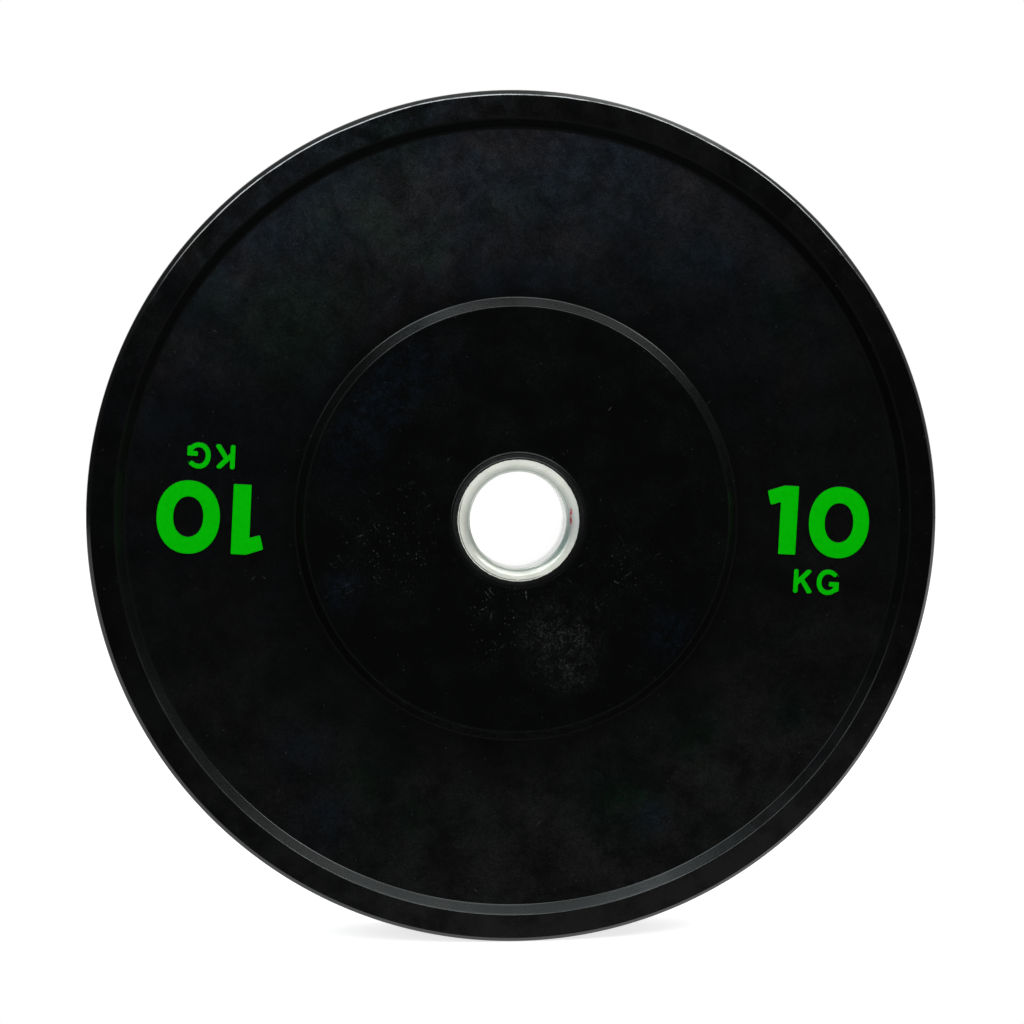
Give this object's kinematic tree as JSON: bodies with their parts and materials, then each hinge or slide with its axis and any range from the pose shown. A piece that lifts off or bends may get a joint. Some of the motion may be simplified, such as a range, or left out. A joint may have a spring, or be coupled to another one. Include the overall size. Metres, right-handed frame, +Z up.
{
  "type": "weight plate",
  "caption": "Black rubber bumper weight plate with a raised hub and rim, a steel bush for the bar and a steel anchor ring moulded inside.",
  "frame": {"origin": "middle of the bore, halfway between the two faces", "axes": "+Y along the bore, from the front face to the back face; the plate stands on its edge with +Z up"},
  "size_m": [0.45, 0.058, 0.4496],
  "materials": {
    "black_rubber": "satin",
    "zinc_plated_steel": "satin",
    "bare_steel": "matte",
    "green_paint": "satin"
  },
  "bodies": {
    "root": {"rubber_disc": "black_rubber", "steel_bush": "zinc_plated_steel", "anchor_ring": "bare_steel"}
  },
  "joints": []
}
